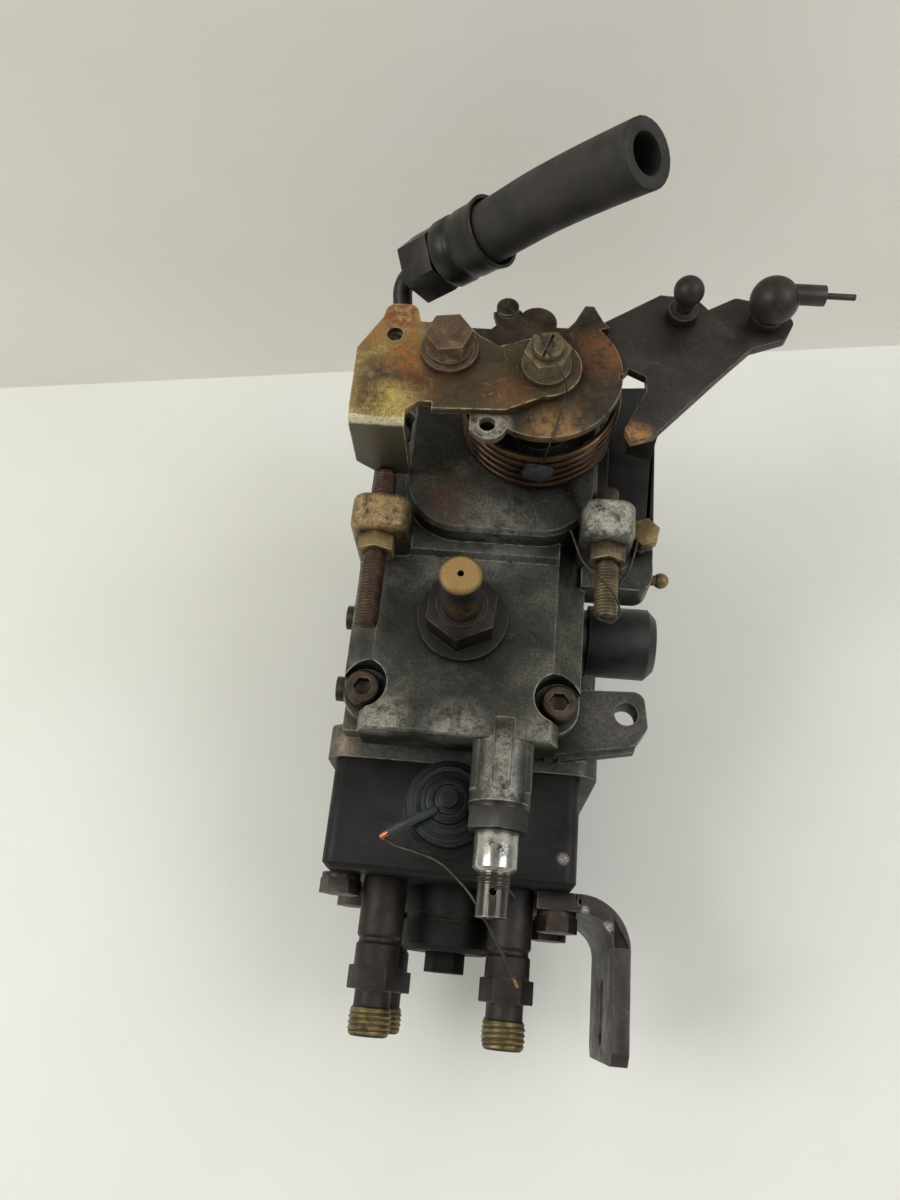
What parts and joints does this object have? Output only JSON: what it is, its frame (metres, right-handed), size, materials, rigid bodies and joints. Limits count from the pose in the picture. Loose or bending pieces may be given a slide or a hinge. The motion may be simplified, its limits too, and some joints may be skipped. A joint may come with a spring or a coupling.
{
  "type": "diesel injection pump",
  "caption": "Rotary distributor diesel injection pump with throttle lever, fuel shut-off solenoid, radial outlet fittings, return fitting and a short fuel hose.",
  "frame": {"origin": "on the drive axis, in the face of the mounting flange", "axes": "+Y along the drive axis, out of the drive end; +Z towards the governor cover; +X to the side of the throttle lever's ball studs"},
  "size_m": [0.1545, 0.246, 0.2166],
  "materials": {
    "cast_aluminium": "sand-cast, oily and stained",
    "dark_steel": "phosphated steel, oiled",
    "machined_steel": "ground or turned",
    "zinc_plate": "yellow zinc plate, rusted",
    "rusty_steel": "worn plating with surface rust",
    "chrome_collar": "bright turned collar",
    "spring_steel": "coil spring wire",
    "rubber": "matt fuel hose and seal rubber",
    "gasket": "compressed fibre sheet",
    "bronze": "plain bearing bronze"
  },
  "bodies": {
    "pump": {"pump_housing": "cast_aluminium", "cover_gasket": "gasket", "governor_cover": "cast_aluminium", "cover_screws": "zinc_plate", "hydraulic_head": "dark_steel", "pump_barrel": "machined_steel", "head_bolts": "rusty_steel", "centre_plug": "dark_steel", "bleed_screw": "machined_steel", "delivery_valve_holders": "dark_steel", "delivery_valves": "machined_steel", "fuel_cut_solenoid": "dark_steel", "shaft_bush": "bronze", "shaft_seal": "rubber", "feed_pump_liner": "machined_steel", "feed_pump_cover": "machined_steel", "plunger_springs": "spring_steel", "governor_shaft": "machined_steel", "lever_pivot": "machined_steel", "governor_spring": "spring_steel", "timer_spring": "spring_steel", "timer_covers": "cast_aluminium", "timer_cover_screws": "zinc_plate", "pressure_valve": "dark_steel", "return_spring": "spring_steel", "idle_screw": "rusty_steel", "speed_screw": "rusty_steel", "lock_nuts": "zinc_plate", "full_load_screw": "chrome_collar", "full_load_nut": "dark_steel", "return_fitting": "dark_steel", "side_cap": "dark_steel", "side_plate": "dark_steel", "side_bolt": "zinc_plate", "rear_bracket": "dark_steel", "inlet_pipe": "dark_steel", "hose_ferrule": "dark_steel", "fuel_hose": "rubber"},
    "drive": {"drive_shaft": "machined_steel", "feed_pump_rotor": "machined_steel", "feed_pump_vanes": "machined_steel", "governor_drive_gear": "machined_steel", "cam_disc": "machined_steel", "plunger": "machined_steel"},
    "governor": {"flyweight_cage": "machined_steel", "flyweights": "machined_steel"},
    "thrust_sleeve": {"governor_sleeve": "machined_steel"},
    "rocking_lever": {"governor_lever": "machined_steel"},
    "spill_sleeve": {"control_sleeve": "machined_steel"},
    "roller_carrier": {"roller_ring": "machined_steel", "rollers": "machined_steel"},
    "timer": {"timer_piston": "machined_steel"},
    "throttle": {"lever_shaft": "machined_steel", "throttle_lever": "dark_steel", "spring_plate": "rusty_steel", "stop_bracket": "zinc_plate", "lever_fasteners": "rusty_steel", "ball_studs": "rusty_steel"},
    "cable_end": {"cable_socket": "rusty_steel"},
    "fuel_valve": {"solenoid_plunger": "machined_steel"}
  },
  "joints": [
    {"name": "drive_spin", "type": "hinge", "parent": "pump", "child": "drive", "pos_m": [0, 0, 0], "axis": [0, 1, 0], "continuous": true},
    {"name": "governor_spin", "type": "hinge", "parent": "pump", "child": "governor", "pos_m": [0, -0.066, 0.043], "axis": [0, 1, 0], "continuous": true},
    {"name": "lever_rock", "type": "hinge", "parent": "pump", "child": "rocking_lever", "pos_m": [0, -0.1, 0.026], "axis": [1, 0, 0], "range_deg": [0, 5.7]},
    {"name": "sleeve_slide", "type": "slide", "parent": "pump", "child": "thrust_sleeve", "axis": [0, 1, 0], "range_m": [-0.0012, 0]},
    {"name": "spill_slide", "type": "slide", "parent": "pump", "child": "spill_sleeve", "axis": [0, 1, 0], "range_m": [0, 0.0019]},
    {"name": "timer_slide", "type": "slide", "parent": "pump", "child": "timer", "axis": [1, 0, 0], "range_m": [0, 0.006], "deforming": ["timer_spring"]},
    {"name": "ring_turn", "type": "hinge", "parent": "pump", "child": "roller_carrier", "pos_m": [0, -0.067, 0], "axis": [0, 1, 0], "range_deg": [-8, 0]},
    {"name": "throttle_turn", "type": "hinge", "parent": "pump", "child": "throttle", "pos_m": [0.0175, -0.024, 0.094], "axis": [0, 0, 1], "range_deg": [-28, 0], "stiffness_Nm_per_rad": 0.5, "springref_deg": 28.65},
    {"name": "cable_swivel", "type": "hinge", "parent": "throttle", "child": "cable_end", "pos_m": [0.0805, 0.0008, 0.1055], "axis": [0, 0, 1], "range_deg": [-80, 80]},
    {"name": "fuel_cut_slide", "type": "slide", "parent": "pump", "child": "fuel_valve", "axis": [0, 0, 1], "range_m": [0, 0.002], "stiffness_N_per_m": 300, "springref_m": -0.004}
  ],
  "couplings": [
    {"joint": "governor_spin", "follows": "drive_spin", "ratio": -1.5294},
    {"joint": "sleeve_slide", "follows": "lever_rock", "m_per_rad": -0.0105},
    {"joint": "spill_slide", "follows": "lever_rock", "m_per_rad": 0.018},
    {"joint": "ring_turn", "follows": "timer_slide", "rad_per_m": -22.727}
  ]
}
